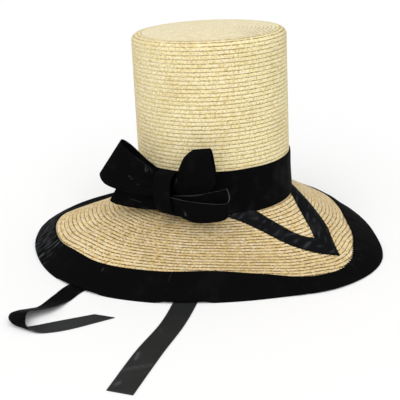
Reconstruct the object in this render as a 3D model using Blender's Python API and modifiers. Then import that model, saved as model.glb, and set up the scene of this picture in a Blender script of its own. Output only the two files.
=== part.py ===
"""A straw top hat with a velvet band, bow, bound brim and two ties, lying on its brim.

Units are metres, +Z is up. The hat is seen from its side: its length runs along X.
Every shape is worked out in the hat's own frame, whose origin is where the crown's axis
meets the floor, and an empty places that frame in the part's frame.
"""

import math

import bmesh
import bpy
from mathutils import Vector
from mathutils.bvhtree import BVHTree

MM = 0.001

# Place of the crown's axis in the part's frame
HAT_X = 0.01132
HAT_Y = 0.08750

# Crown: a leaning oval tube with a rounded shoulder
STRAW = 2.2 * MM
GAP = 0.3 * MM
CROWN_BASE_HEIGHT = 65 * MM
CROWN_LEAN = math.radians(2.7)
OVAL_RATIO = 0.90
CROWN_HALF_LENGTH = 99 * MM
CROWN_HALF_AT_BAND_TOP = 97 * MM
CROWN_HALF_AT_TIP = 95 * MM
SHOULDER_RADIUS = 8 * MM
TIP_EDGE_HEIGHT = 209 * MM
TIP_DOME = 3 * MM
CROWN_STEPS = 48

# Band
VELVET = 1.2 * MM
BAND_HEIGHT = 55.6 * MM

# Brim: flange under the crown, then a slope out to the edge
FLANGE_WIDTH = 3.5 * MM
BINDING_GAP = 0.6 * MM
BINDING_UNDER = 1.5
EDGE_SETTLE = 0.6 * MM

# One row every 22.5 degrees from +X, turning from the right end away from the viewer:
# reach of the edge from the crown's axis in mm, height of the edge above the floor in mm,
# slope of the bound edge in degrees, width of the binding in mm
BRIM_SECTIONS = [
    (215.0, 0.0, 27.0, 43.0),
    (210.5, 3.0, 34.0, 42.0),
    (206.0, 6.0, 32.0, 40.0),
    (197.0, 7.0, 30.0, 38.0),
    (189.0, 7.0, 26.0, 38.0),
    (193.0, 5.0, 18.0, 38.0),
    (205.5, 2.0, 6.0, 36.0),
    (226.0, 0.0, 14.0, 35.0),
    (238.0, 0.0, 36.0, 35.0),
    (235.0, 0.0, 42.0, 33.0),
    (224.0, 0.0, 40.0, 34.0),
    (203.0, 0.0, 38.0, 34.5),
    (187.5, 0.0, 36.0, 35.0),
    (188.0, 0.0, 22.0, 30.0),
    (209.0, 0.0, 10.0, 23.5),
    (221.0, 0.0, 22.0, 35.0),
]
SECTION_TURN = math.radians(22.5)

# The binding is narrower at its front right corner
NARROW_AT = math.radians(327)
NARROW_HALF_TURN = math.radians(2)
NARROW_FADE = math.radians(12)
NARROW_BY = 7 * MM

# Gathers of the binding at the left end
GATHER_FROM = math.radians(158)
GATHER_TO = math.radians(214)
GATHER_COUNT = 16
GATHER_HEIGHT = 1.3 * MM
PLAIN_STEPS = 64

# The edge is lifted a little where a tie comes out under it
TIE_EXITS = (math.radians(224.5), math.radians(260.0))
TIE_EXIT_HALF_TURN = math.radians(6.0)
TIE_EXIT_FADE = math.radians(4.5)
TIE_EXIT_LIFT = 2.4 * MM

# Bow, on the front left of the band. A row of a loop is one straight line across its
# ribbon, from one edge to the other, in mm: right, up and out of the band at the bow's
# middle, for each edge
BOW_TURN = math.radians(-26.5)
LEFT_LOOP = [
    (-8, 28, 2.6, -8, 50, 2.6),
    (-38, 30, 5.0, -32, 67, 6.0),
    (-78, 39.5, 11.0, -53, 89, 12.0),
    (-95, 50, 19.0, -60, 96, 19.0),
    (-83, 38.5, 26.0, -54, 87, 26.0),
    (-42, 30, 25.0, -32, 68, 25.0),
    (-8, 28, 16.0, -8, 50, 16.0),
]
LEFT_TAIL_LOOP = [
    (-5, 9, 1.0, -5, 33, 1.0),
    (-40, 8, 1.2, -40, 34, 1.2),
    (-77, 9, 3.0, -70, 33, 3.0),
    (-92, 10, 7.0, -79, 31, 7.0),
    (-78, 7.5, 12.0, -71, 29, 11.0),
    (-40, 6, 12.0, -40, 27, 10.5),
    (-6, 10, 10.0, -6, 25, 10.0),
]
RIGHT_LOOP = [
    (0, 36, -0.4, 26, 12, 1.7),
    (11, 59, 3.0, 54, 50, 6.0),
    (20.5, 80, 6.0, 55, 82, 9.0),
    (31, 89.5, 12.0, 53, 93.5, 13.0),
    (20.5, 80, 17.0, 56, 82, 18.0),
    (10, 57, 17.0, 57, 50, 16.0),
    (2, 38, 12.3, 28, 14, 14.4),
]
SIDE_LOOP = [
    (2, 13, 13.9, 2, 33, 13.9),
    (34, 8, 16.5, 34, 36.5, 18.6),
    (64, 14, 19.0, 64, 45, 20.5),
    (79.5, 21, 25.0, 78.5, 50, 24.0),
    (73, 14.5, 32.5, 79.5, 37, 32.0),
    (38, 8, 33.5, 38, 31.5, 35.5),
    (3, 14.5, 24.5, 3, 34, 27.0),
]
KNOT = [
    (-13, 54, -1.2, 8, 54, -1.2),
    (-14, 61.5, 12.0, 8, 60, 13.0),
    (-15, 55.5, 27.0, 8, 54.5, 29.0),
    (-14, 34, 33.0, 8, 34, 34.5),
    (-14, 17, 27.0, 9, 15, 30.0),
    (-13, 6.5, 14.5, 9, 6, 17.0),
    (-13, 3.6, 0.2, 8, 3.6, 0.2),
]

# The V on the right front of the brim: its two arms' edges in plan, in mm from the
# crown's axis: inner x, inner y, outer x, outer y. The last row is the mitre
NEAR_ARM = [
    (49.5, -82.3, 16, -94.6),
    (73.5, -86.5, 53, -100.1),
    (96, -89.7, 88, -105.3),
    (110, -89, 124, -104),
    (123, -86, 153, -97.3),
]
FAR_ARM = [
    (100, -27, 103.4, 5),
    (104.5, -47, 121.5, -21.5),
    (113.5, -65.5, 140, -52.5),
    (118.8, -75.5, 146.6, -77),
    (123, -86, 153, -97.3),
]
ARM_GAP = 0.7 * MM
ARM_LOW = 1.8 * MM
ARM_PUFF = 3.6 * MM
# Place across the arm and height over the brim, where None is the gather's own height
ARM_SECTION = [
    (0.0, ARM_GAP),
    (0.33, ARM_GAP),
    (0.67, ARM_GAP),
    (1.0, ARM_GAP),
    (1.0, ARM_LOW),
    (0.72, None),
    (0.28, None),
    (0.0, ARM_LOW),
]
ARM_GATHERS = 11
MITRE_GAP = 0.35 * MM

# Ties. A row is one straight line across the ribbon, in mm: x, y, z of each edge
TIE_THICK = 1.0 * MM
TIE_LEFT = [
    (-75.6, -51.3, 80.0, -57.6, -68.8, 80.0),
    (-75.4, -51.1, 55.0, -57.4, -68.6, 55.0),
    (-75.4, -51.1, 18.0, -57.4, -68.6, 18.0),
    (-82.0, -57.5, 2.0, -64.0, -75.0, 2.0),
    (-98.0, -73.0, 0.6, -80.0, -91.0, 0.6),
    (-136.0, -112.0, 0.6, -117.0, -129.0, 0.6),
    (-171.0, -149.2, 0.6, -150.0, -163.6, 0.6),
    (-184.0, -176.0, 0.6, -162.0, -186.0, 0.6),
    (-195.0, -201.0, 0.6, -176.0, -213.0, 6.5),
    (-205.0, -208.0, 1.1, -190.0, -226.0, 9.8),
    (-214.5, -218.0, 4.4, -199.0, -233.0, 11.8),
    (-220.0, -231.0, 7.6, -200.0, -242.0, 11.4),
    (-218.0, -243.0, 7.0, -198.0, -252.5, 7.6),
    (-207.5, -248.5, 3.0, -190.0, -257.5, 2.9),
    (-193.0, -244.0, 0.6, -176.0, -257.5, 0.6),
    (-165.0, -232.0, 0.6, -152.0, -249.5, 0.6),
    (-131.0, -218.0, 0.6, -108.0, -224.5, 0.6),
]
TIE_RIGHT = [
    (-30.0, -81.4, 80.0, -4.5, -85.4, 80.0),
    (-30.0, -81.4, 55.0, -4.5, -85.4, 55.0),
    (-30.0, -81.4, 18.0, -4.5, -85.4, 18.0),
    (-31.0, -89.0, 2.0, -5.5, -93.0, 2.0),
    (-34.0, -112.0, 0.6, -8.5, -116.0, 0.6),
    (-39.0, -150.0, 0.6, -13.5, -154.0, 0.6),
    (-46.0, -188.0, 0.6, -20.0, -193.0, 0.6),
    (-58.0, -237.0, 0.6, -32.5, -241.0, 0.6),
    (-79.0, -291.0, 0.6, -52.0, -296.0, 0.6),
    (-99.5, -357.0, 0.6, -74.0, -364.0, 0.6),
]

STRAW_COLOUR = (0.78, 0.56, 0.25, 1.0)
VELVET_COLOUR = (0.012, 0.012, 0.014, 1.0)
RIBBON_COLOUR = (0.030, 0.032, 0.033, 1.0)


def clear_scene():
    for existing in list(bpy.data.objects):
        bpy.data.objects.remove(existing, do_unlink=True)


def material(name, colour, roughness):
    made = bpy.data.materials.new(name)
    made.use_nodes = True
    shader = made.node_tree.nodes["Principled BSDF"]
    shader.inputs["Base Color"].default_value = colour
    shader.inputs["Roughness"].default_value = roughness
    shader.inputs["Metallic"].default_value = 0.0
    return made


def blend(a, b, t):
    """Point or row between two of equal length."""
    return tuple(p + (q - p) * t for p, q in zip(a, b))


def curve_row(rows, place, closed):
    """Row at a place counted in rows, on the smooth curve through all of them."""
    count = len(rows)
    index = int(math.floor(place))
    if not closed:
        index = min(max(index, 0), count - 2)
    t = place - index

    def row(k):
        return rows[k % count] if closed else rows[min(max(k, 0), count - 1)]

    values = []
    for a, b, c, d in zip(row(index - 1), row(index), row(index + 1), row(index + 2)):
        values.append(0.5 * (2 * b + (c - a) * t + (2 * a - 5 * b + 4 * c - d) * t ** 2
                             + (3 * b - a - 3 * c + d) * t ** 3))
    return tuple(values)


def oval_reach(azimuth, half_length, half_width):
    """Distance from the axis to an oval in one direction."""
    return 1 / math.hypot(math.cos(azimuth) / half_length, math.sin(azimuth) / half_width)


def fade(distance, inner, width):
    """1 up to the inner distance, falling smoothly to 0 over the width after it."""
    t = min(max((distance - inner) / width, 0.0), 1.0)
    return 1 - t * t * (3 - 2 * t)


def turn_between(azimuth, centre):
    return abs((azimuth - centre + math.pi) % (2 * math.pi) - math.pi)


def edge_lift(azimuth):
    lift = 0.0
    for centre in TIE_EXITS:
        off = turn_between(azimuth, centre)
        lift = max(lift, TIE_EXIT_LIFT * fade(off, TIE_EXIT_HALF_TURN, TIE_EXIT_FADE))
    return lift


def narrowing(azimuth):
    off = turn_between(azimuth, NARROW_AT)
    return NARROW_BY * fade(off, NARROW_HALF_TURN, NARROW_FADE)


def brim_corners(azimuth):
    """Inner rim, flange's end, binding line and edge of the brim's middle surface."""
    reach, height, slope, width = curve_row(BRIM_SECTIONS, azimuth / SECTION_TURN, True)
    wrap = STRAW / 2 + BINDING_GAP + VELVET
    inner = CROWN_HALF_LENGTH - STRAW
    outer = CROWN_HALF_LENGTH + FLANGE_WIDTH
    side = CROWN_HALF_LENGTH * OVAL_RATIO
    rim_reach = oval_reach(azimuth, inner, side - STRAW)
    flange_reach = oval_reach(azimuth, outer, side + FLANGE_WIDTH)
    seat = CROWN_BASE_HEIGHT - GAP - STRAW / 2
    tilt = math.tan(CROWN_LEAN) * math.cos(azimuth)
    rim = (rim_reach, seat + tilt * rim_reach)
    flange = (flange_reach, seat + tilt * flange_reach)
    rise = max(height, 0.0) * MM + edge_lift(azimuth)
    edge = (reach * MM - wrap, rise + wrap - EDGE_SETTLE)
    turn = math.radians(slope)
    bound = width * MM - narrowing(azimuth)
    line = (edge[0] - bound * math.cos(turn), edge[1] + bound * math.sin(turn))
    return rim, flange, line, edge


def brim_middle(azimuth, place):
    """Middle surface of the brim: -1 at the rim, 0 at the flange's end, 1 at the binding, 2 at the edge."""
    rim, flange, line, edge = brim_corners(azimuth)
    if place <= 0:
        return blend(flange, rim, -place)
    start, end = (flange, line) if place <= 1 else (line, edge)
    t = place if place <= 1 else place - 1
    slope_in = math.atan2(line[1] - flange[1], line[0] - flange[0])
    slope_out = math.atan2(edge[1] - line[1], edge[0] - line[0])
    turn = (slope_in + slope_out) / 2
    length = math.dist(start, end)
    chord = (end[0] - start[0], end[1] - start[1])
    smooth = (math.cos(turn) * length, math.sin(turn) * length)
    leave, arrive = (chord, smooth) if place <= 1 else (smooth, chord)
    h = (2 * t ** 3 - 3 * t ** 2 + 1, t ** 3 - 2 * t ** 2 + t, 3 * t ** 2 - 2 * t ** 3, t ** 3 - t ** 2)
    return tuple(h[0] * start[k] + h[1] * leave[k] + h[2] * end[k] + h[3] * arrive[k] for k in (0, 1))


def brim_offset(azimuth, place, offset):
    """Point at a height over the brim's middle surface, as (reach, height)."""
    step = 0.02
    low = brim_middle(azimuth, max(place - step, -1))
    high = brim_middle(azimuth, min(place + step, 2))
    run = math.dist(low, high)
    along = ((high[0] - low[0]) / run, (high[1] - low[1]) / run)
    middle = brim_middle(azimuth, place)
    return (middle[0] - along[1] * offset, middle[1] + along[0] * offset), along


def turned(azimuth, section):
    """Point of a section, given as (reach, height), in the hat's frame."""
    return Vector((math.cos(azimuth) * section[0], math.sin(azimuth) * section[0], section[1]))


def brim_azimuths():
    """Turns at which the brim and its binding have a section: close together at the gathers."""
    steps = 2 * GATHER_COUNT
    gathered = [GATHER_FROM + (GATHER_TO - GATHER_FROM) * k / steps for k in range(steps)]
    rest = 2 * math.pi - (GATHER_TO - GATHER_FROM)
    plain = [GATHER_TO + rest * k / PLAIN_STEPS for k in range(PLAIN_STEPS)]
    return gathered + plain


def grid_object(name, rows, around, along, seat):
    """Object from rows of points, closed round its section and along its rows where asked."""
    across = len(rows[0])
    columns = across if around else across - 1
    lines = len(rows) if along else len(rows) - 1
    mesh = bpy.data.meshes.new(name)
    shape = bmesh.new()
    bmesh.ops.create_grid(shape, x_segments=columns, y_segments=lines, size=0.5)
    for vertex in shape.verts:
        column = round((vertex.co.x + 0.5) * columns)
        line = round((vertex.co.y + 0.5) * lines)
        vertex.co = rows[line % len(rows)][column % across]
    bmesh.ops.remove_doubles(shape, verts=shape.verts, dist=0.01 * MM)
    if around and not along:
        bmesh.ops.holes_fill(shape, edges=[e for e in shape.edges if e.is_boundary], sides=0)
    if around:
        bmesh.ops.recalc_face_normals(shape, faces=shape.faces)
    bmesh.ops.triangulate(shape, faces=shape.faces)
    shape.to_mesh(mesh)
    shape.free()
    mesh.shade_smooth()
    mesh.set_sharp_from_angle(angle=math.radians(50))
    made = bpy.data.objects.new(name, mesh)
    made.parent = seat
    return made


def add_to_hat(made, finish):
    made.data.materials.append(finish)
    bpy.data.collections["straw_top_hat"].objects.link(made)
    return made


def wall(made, thickness):
    """Gives an open sheet its thickness, half to each side."""
    shell = made.modifiers.new("Wall", "SOLIDIFY")
    shell.thickness = thickness
    shell.offset = 0.0
    return made


def crown_outline(inset):
    """Outline of the crown from the middle of its tip down to its foot, inset for the inside."""
    side = CROWN_HALF_AT_TIP - inset
    top = TIP_EDGE_HEIGHT - inset
    radius = SHOULDER_RADIUS - inset
    crease = side - SHOULDER_RADIUS + inset
    points = [(0.0, top + TIP_DOME), (crease * 0.6, top + TIP_DOME * 0.6)]
    for step in range(4):
        turn = math.radians(90 - 30 * step)
        points.append((crease + radius * math.cos(turn), top - radius + radius * math.sin(turn)))
    points.append((CROWN_HALF_AT_BAND_TOP - inset, BAND_HEIGHT))
    points.append((CROWN_HALF_LENGTH - inset, 0.0))
    return points


def build_crown(seat):
    outline = crown_outline(0.0) + list(reversed(crown_outline(STRAW)))
    mesh = bpy.data.meshes.new("crown")
    shape = bmesh.new()
    verts = [shape.verts.new((reach, 0.0, height)) for reach, height in outline]
    for a, b in zip(verts, verts[1:]):
        shape.edges.new((a, b))
    shape.to_mesh(mesh)
    shape.free()
    crown = bpy.data.objects.new("crown", mesh)
    crown.parent = seat
    crown.scale = (1.0, OVAL_RATIO, 1.0)
    turn = crown.modifiers.new("Turn", "SCREW")
    turn.steps = CROWN_STEPS
    turn.render_steps = CROWN_STEPS
    turn.use_merge_vertices = True
    turn.merge_threshold = 0.00005
    turn.use_smooth_shade = True
    return add_to_hat(crown, material("crown_straw", STRAW_COLOUR, 0.55))


def build_band(seat):
    rows = []
    lower = CROWN_HALF_LENGTH + GAP
    upper = CROWN_HALF_AT_BAND_TOP + GAP
    for step in range(CROWN_STEPS):
        turn = 2 * math.pi * step / CROWN_STEPS
        across = Vector((math.cos(turn), math.sin(turn) * OVAL_RATIO, 0))
        out = Vector((math.cos(turn) * OVAL_RATIO, math.sin(turn), 0)).normalized()
        foot = across * lower + out * 0.2 * MM
        head = across * upper + out * 0.2 * MM
        top = Vector((0, 0, BAND_HEIGHT))
        rows.append([foot, foot + out * VELVET, head + out * VELVET + top, head + top])
    band = grid_object("hat_band", rows, True, True, seat)
    return add_to_hat(band, material("band_velvet", VELVET_COLOUR, 0.9))


def build_brim(seat):
    places = (-1, 0, 0.25, 0.5, 0.75, 1, 1.5, 2)
    rows = []
    for azimuth in brim_azimuths():
        top = [brim_offset(azimuth, place, STRAW / 2)[0] for place in places]
        below = [brim_offset(azimuth, place, -STRAW / 2)[0] for place in reversed(places)]
        rows.append([turned(azimuth, section) for section in top + below])
    brim = grid_object("brim", rows, True, True, seat)
    return add_to_hat(brim, material("brim_straw", STRAW_COLOUR, 0.6))


def binding_section(azimuth, raised):
    """Outline of the velvet wrapped over the edge, as (reach, height)."""
    inner = STRAW / 2 + BINDING_GAP
    outer = inner + VELVET
    shape = []
    for place, lift in ((1, 0.3), (1.25, 1.0), (1.5, 1.0), (1.75, 1.0), (2, 0.6)):
        shape.append(brim_offset(azimuth, place, outer + raised * lift)[0])
    edge, along = brim_offset(azimuth, 2, 0.0)
    normal = (-along[1], along[0])
    for turn in (math.radians(50), math.radians(5), math.radians(-45)):
        reach = outer * math.cos(turn)
        rise = outer * math.sin(turn)
        shape.append((edge[0] + along[0] * reach + normal[0] * rise,
                      edge[1] + along[1] * reach + normal[1] * rise))
    shape.append(brim_offset(azimuth, 2, -outer)[0])
    shape.append(brim_offset(azimuth, BINDING_UNDER, -outer)[0])
    floor = brim_corners(azimuth)[3][1] - outer + EDGE_SETTLE
    shape = [(reach, max(height, floor)) for reach, height in shape]
    shape.append(brim_offset(azimuth, BINDING_UNDER, -inner)[0])
    shape.append(brim_offset(azimuth, 2, -inner)[0])
    shape.append((edge[0] + along[0] * inner, edge[1] + along[1] * inner))
    shape.append(brim_offset(azimuth, 2, inner)[0])
    shape.append(brim_offset(azimuth, BINDING_UNDER, inner)[0])
    shape.append(brim_offset(azimuth, 1, inner)[0])
    return shape


def build_binding(seat):
    rows = []
    for index, azimuth in enumerate(brim_azimuths()):
        raised = GATHER_HEIGHT if index < 2 * GATHER_COUNT and index % 2 else 0.0
        rows.append([turned(azimuth, section) for section in binding_section(azimuth, raised)])
    binding = grid_object("brim_binding", rows, True, True, seat)
    return add_to_hat(binding, material("binding_velvet", VELVET_COLOUR, 0.85))


def bow_point(right, up, out):
    return Vector((right, -out, up)) * MM


def build_loop(name, sections, seat, steps=14, across=3):
    """Ribbon through its sections, with the velvet's thickness."""
    rows = []
    for step in range(steps + 1):
        row = curve_row(sections, (len(sections) - 1) * step / steps, False)
        rows.append([bow_point(*blend(row[:3], row[3:], k / across)) for k in range(across + 1)])
    loop = wall(grid_object(name, rows, False, False, seat), VELVET)
    return add_to_hat(loop, material(name + "_velvet", VELVET_COLOUR, 0.85))


def build_tie(name, sections, seat, steps, across=2):
    rows = []
    for step in range(steps + 1):
        row = curve_row(sections, (len(sections) - 1) * step / steps, False)
        points = [Vector(blend(row[:3], row[3:], k / across)) * MM for k in range(across + 1)]
        rows.append([Vector((p.x, p.y, max(p.z, 0.6 * MM))) for p in points])
    tie = wall(grid_object(name, rows, False, False, seat), TIE_THICK)
    return add_to_hat(tie, material(name + "_ribbon", RIBBON_COLOUR, 0.5))


def over_brim(surface, x, y, height):
    """Point at a height straight above the brim's upper side."""
    found = surface.ray_cast(Vector((x, y, 0.2)), Vector((0, 0, -1)))[0]
    return found + Vector((0, 0, height))


def build_arm(name, sections, surface, seat):
    """Ruched strip laid on the brim, domed across and raised at every second gather."""
    steps = 2 * ARM_GATHERS
    mitre = Vector(sections[-1][2:]) - Vector(sections[-1][:2])
    before = Vector(sections[-2][:2]) - Vector(sections[-1][:2])
    square = Vector((-mitre.y, mitre.x)).normalized()
    if square.dot(before) < 0:
        square = -square
    rows = []
    for step in range(steps + 1):
        row = curve_row(sections, (len(sections) - 1) * step / steps, False)
        puff = ARM_PUFF * (1.0 if step % 2 else 0.7)
        row_points = []
        for side, height in ARM_SECTION:
            height = puff if height is None else height
            x, y = blend(row[:2], row[2:], side)
            if step == steps:
                x += square.x * MITRE_GAP / MM
                y += square.y * MITRE_GAP / MM
            row_points.append(over_brim(surface, x * MM, y * MM, height))
        rows.append(row_points)
    arm = grid_object(name, rows, True, False, seat)
    return add_to_hat(arm, material(name + "_velvet", VELVET_COLOUR, 0.7))


def empty(name, location, rotation, parent):
    made = bpy.data.objects.new(name, None)
    made.location = location
    made.rotation_euler = rotation
    made.parent = parent
    made.empty_display_size = 0.05
    bpy.data.collections["straw_top_hat"].objects.link(made)
    return made


def build_hat():
    hat = empty("hat_frame", (HAT_X, HAT_Y, 0), (0, 0, 0), None)
    crown_seat = empty("crown_seat", (0, 0, CROWN_BASE_HEIGHT), (0, -CROWN_LEAN, 0), hat)
    band_length = CROWN_HALF_LENGTH + GAP + VELVET + 0.2 * MM
    band_width = CROWN_HALF_LENGTH * OVAL_RATIO + GAP + VELVET + 0.2 * MM
    bow_at = (math.sin(BOW_TURN) * band_length, -math.cos(BOW_TURN) * band_width, 0)
    facing = math.atan2(math.sin(BOW_TURN) / band_length, math.cos(BOW_TURN) / band_width)
    bow_seat = empty("bow_seat", bow_at, (0, 0, facing), crown_seat)

    build_crown(crown_seat)
    build_band(crown_seat)
    brim = build_brim(hat)
    build_binding(hat)
    build_loop("bow_left_loop", LEFT_LOOP, bow_seat)
    build_loop("bow_left_tail_loop", LEFT_TAIL_LOOP, bow_seat)
    build_loop("bow_right_loop", RIGHT_LOOP, bow_seat)
    build_loop("bow_side_loop", SIDE_LOOP, bow_seat)
    build_loop("bow_knot", KNOT, bow_seat)
    surface = BVHTree.FromPolygons([v.co for v in brim.data.vertices],
                                   [face.vertices for face in brim.data.polygons])
    build_arm("trim_near_arm", NEAR_ARM, surface, hat)
    build_arm("trim_far_arm", FAR_ARM, surface, hat)
    build_tie("tie_left", TIE_LEFT, hat, 48)
    build_tie("tie_right", TIE_RIGHT, hat, 22)


def main():
    clear_scene()
    bpy.context.scene.collection.children.link(bpy.data.collections.new("straw_top_hat"))
    build_hat()


main()
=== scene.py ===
"""Looks of a straw top hat with a velvet band, bow, bound brim and two ribbon ties.

Every piece is modelled in metres at its place in the frame, so each object stays at the origin.
The hat's own frame has its origin where the crown's axis meets the floor.
"""

import math

import bmesh
import bpy
from bpy.props import FloatProperty, FloatVectorProperty, IntProperty, PointerProperty
from mathutils import Matrix, Vector, noise
from mathutils.bvhtree import BVHTree


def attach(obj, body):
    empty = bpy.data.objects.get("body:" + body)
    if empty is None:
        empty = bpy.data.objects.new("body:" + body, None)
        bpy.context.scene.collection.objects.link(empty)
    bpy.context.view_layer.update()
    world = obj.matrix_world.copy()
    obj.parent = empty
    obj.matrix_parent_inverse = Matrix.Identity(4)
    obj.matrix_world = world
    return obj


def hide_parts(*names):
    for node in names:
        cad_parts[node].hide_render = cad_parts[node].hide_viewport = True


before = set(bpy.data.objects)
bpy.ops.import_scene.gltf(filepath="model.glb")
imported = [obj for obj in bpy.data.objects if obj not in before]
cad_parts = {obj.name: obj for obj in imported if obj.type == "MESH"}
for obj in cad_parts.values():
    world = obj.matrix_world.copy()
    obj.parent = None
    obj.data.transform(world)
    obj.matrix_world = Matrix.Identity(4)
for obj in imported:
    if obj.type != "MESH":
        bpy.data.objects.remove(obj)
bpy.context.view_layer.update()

bl_info = {
    "name": "Straw Top Hat",
    "version": (1, 0, 0),
    "blender": (4, 5, 0),
    "location": "View3D > Sidebar > Straw Hat",
    "description": "Braided straw, velvet trim and ribbon ties of a tall straw hat",
    "category": "Object",
}

MM = 0.001

# The crown's axis in the frame, and the crown's lean to the left
HAT_X = 0.01132
HAT_Y = 0.08750
CROWN_BASE_HEIGHT = 65 * MM
CROWN_LEAN = math.radians(2.7)

# Crown
STRAW = 2.2 * MM
GAP = 0.3 * MM
OVAL_RATIO = 0.90
CROWN_HALF_LENGTH = 99 * MM
CROWN_HALF_AT_BAND_TOP = 97 * MM
CROWN_HALF_AT_TIP = 95 * MM
SHOULDER_RADIUS = 8 * MM
TIP_EDGE_HEIGHT = 209 * MM
TIP_DOME = 3 * MM
CROWN_ROWS = 62
CROWN_TURN_STEPS = 144

# Place across a braid row, from its upper edge to its lower, and its rise there
ROW_RELIEF = ((0.0, 0.0), (0.22, 0.62), (0.6, 0.95), (0.9, 1.0))
INSIDE_RELIEF = ((0.0, 0.0), (0.5, 1.0))

# Straw: rows on the tip and their paler colour, the stretches of x over which the crown's
# painted row shade fades out towards the left, where light falls straight on, and over which
# painted light makes the crown paler at the right, where the tip's painted row shade also
# grows stronger, the distance from the middle over which painted light makes the brim's
# straw paler, and the length of one turn of the plait
TIP_ROWS = 18
PALE_TIP_STRAW = (0.90, 0.84, 0.63, 1.0)
LIT_LEFT_SIDE = (-75 * MM, -5 * MM)
PAINTED_LIGHT_SIDE = (20 * MM, 75 * MM)
PAINTED_LIGHT_ENDS = (40 * MM, 130 * MM)
# How much paler painted light makes the crown's right side and the brim's ends, and how much of
# each colour the darker straws lose
CROWN_PAINTED_LIGHT = (1.14, 1.15, 1.15)
BRIM_PAINTED_LIGHT = (1.21, 1.25, 1.36)
TANNED_LOSS = (0.30, 0.40, 0.56)
PLAIT_LENGTH = 5.7 * MM
BRIM_PITCH = 5.2 * MM

# Band
VELVET = 1.2 * MM
BAND_HEIGHT = 55.6 * MM
BAND_LINES = 240
# Share of the band's height from its foot and how much of the velvet's rise it has there
BAND_PROFILE = ((0.0, 0.0), (0.0, 0.7), (0.015, 1.0), (0.05, 1.1), (0.12, 1.0), (0.25, 1.0),
                (0.4, 1.0), (0.55, 1.0), (0.7, 1.0), (0.85, 1.0), (0.95, 1.1),
                (0.985, 1.0), (1.0, 0.7), (1.0, 0.0))

# Brim
FLANGE_WIDTH = 3.5 * MM
BINDING_GAP = 0.6 * MM
BINDING_UNDER = 1.5
EDGE_SETTLE = 0.6 * MM
BRIM_TURN_STEPS = 360

# One row every 22.5 degrees from +X, turning from the right end away from the viewer:
# reach of the edge from the crown's axis in mm, height of the edge above the floor in mm,
# slope of the bound edge in degrees, width of the binding in mm
BRIM_SECTIONS = [
    (215.0, 0.0, 27.0, 43.0),
    (210.5, 3.0, 34.0, 42.0),
    (206.0, 6.0, 32.0, 40.0),
    (197.0, 7.0, 30.0, 38.0),
    (189.0, 7.0, 26.0, 38.0),
    (193.0, 5.0, 18.0, 38.0),
    (205.5, 2.0, 6.0, 36.0),
    (226.0, 0.0, 14.0, 35.0),
    (238.0, 0.0, 36.0, 35.0),
    (235.0, 0.0, 42.0, 33.0),
    (224.0, 0.0, 40.0, 34.0),
    (203.0, 0.0, 38.0, 34.5),
    (187.5, 0.0, 36.0, 35.0),
    (188.0, 0.0, 22.0, 30.0),
    (209.0, 0.0, 10.0, 23.5),
    (221.0, 0.0, 22.0, 35.0),
]
SECTION_TURN = math.radians(22.5)
# Rows between the crown and the binding at the same places, as a share of those at the front
BRIM_ROW_SHARES = [(0.725,), (0.65,), (0.65,), (0.675,), (0.675,), (0.75,), (0.875,), (0.975,),
                   (1.01,), (1.01,), (1.04,), (1.05,), (1.01,), (1.065,), (1.115,), (0.965,)]
# How far under the binding the rows run on, as a place along the brim's curve
ROWS_BOUND = 1.3
# Where the binding is narrower and wider, how far that reaches and by how much
NARROW_AT = math.radians(327)
NARROW_HALF_TURN = math.radians(2)
NARROW_FADE = math.radians(12)
NARROW_BY = 7 * MM
WIDE_AT = math.radians(214)
WIDE_FADE = math.radians(12)
WIDE_BY = 2.4 * MM
# Puff of the binding's edge, with its middle, half width and fade
FRONT_PUFF = 2.6 * MM
FRONT_TURN = (math.radians(278), math.radians(62), math.radians(22))
END_PUFF = 3.2 * MM
END_TURN = (math.radians(172.5), math.radians(4), math.radians(7))
# Where the ties come out and lift the edge
TIE_EXITS = (math.radians(224.5), math.radians(260.0))
TIE_EXIT_HALF_TURN = math.radians(6.0)
TIE_EXIT_FADE = math.radians(4.5)
TIE_EXIT_LIFT = 2.4 * MM

# Stretches of the binding: middle and half width in degrees of turn, fade, gathers in a
# full turn, skew of a gather across the binding in gathers, height in mm, how far out
# across the binding they run and the strength of the painted highlight on their crests
BINDING_GATHERS = [
    (186, 15, 8, 190, 0.9, 1.1, 2.0, 1.2),
    (2, 30, 14, 250, -0.8, 0.6, 0.3, 0.12),
    (48, 24, 20, 220, 0.5, 0.5, 0.4, 0.15),
    (120, 40, 30, 120, 0.4, 0.25, 0.5, 0.1),
]
BINDING_LINES = 1080
# Places across the binding, with how much of the velvet's rise it has there
BINDING_PROFILE = ((0.0, -0.2), (0.008, 0.55), (0.035, 1.0), (0.08, 0.95), (0.15, 0.9),
                   (0.25, 1.0), (0.36, 1.0), (0.48, 1.0), (0.6, 1.0), (0.72, 1.0),
                   (0.84, 1.0), (0.94, 1.0), (1.0, 1.0))
# Scallops in a full turn, and where they are deepest: middle, half width and fade in degrees
SCALLOPS = 270
SCALLOP_DEPTH = 1.1 * MM
SCALLOPED = ((8, 40, 15),)
# Seams across the binding, and how strongly their thread shows as dots of painted highlight
SEAMS = (math.radians(229.3), math.radians(253.2), math.radians(302.7))
STITCHED = tuple(zip(SEAMS, (0.55, 0.12, 0.12)))
SEAM_WIDTH = 1.6 * MM
SEAM_DEPTH = 0.9 * MM
STITCH_WIDTH = 1.3 * MM

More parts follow.
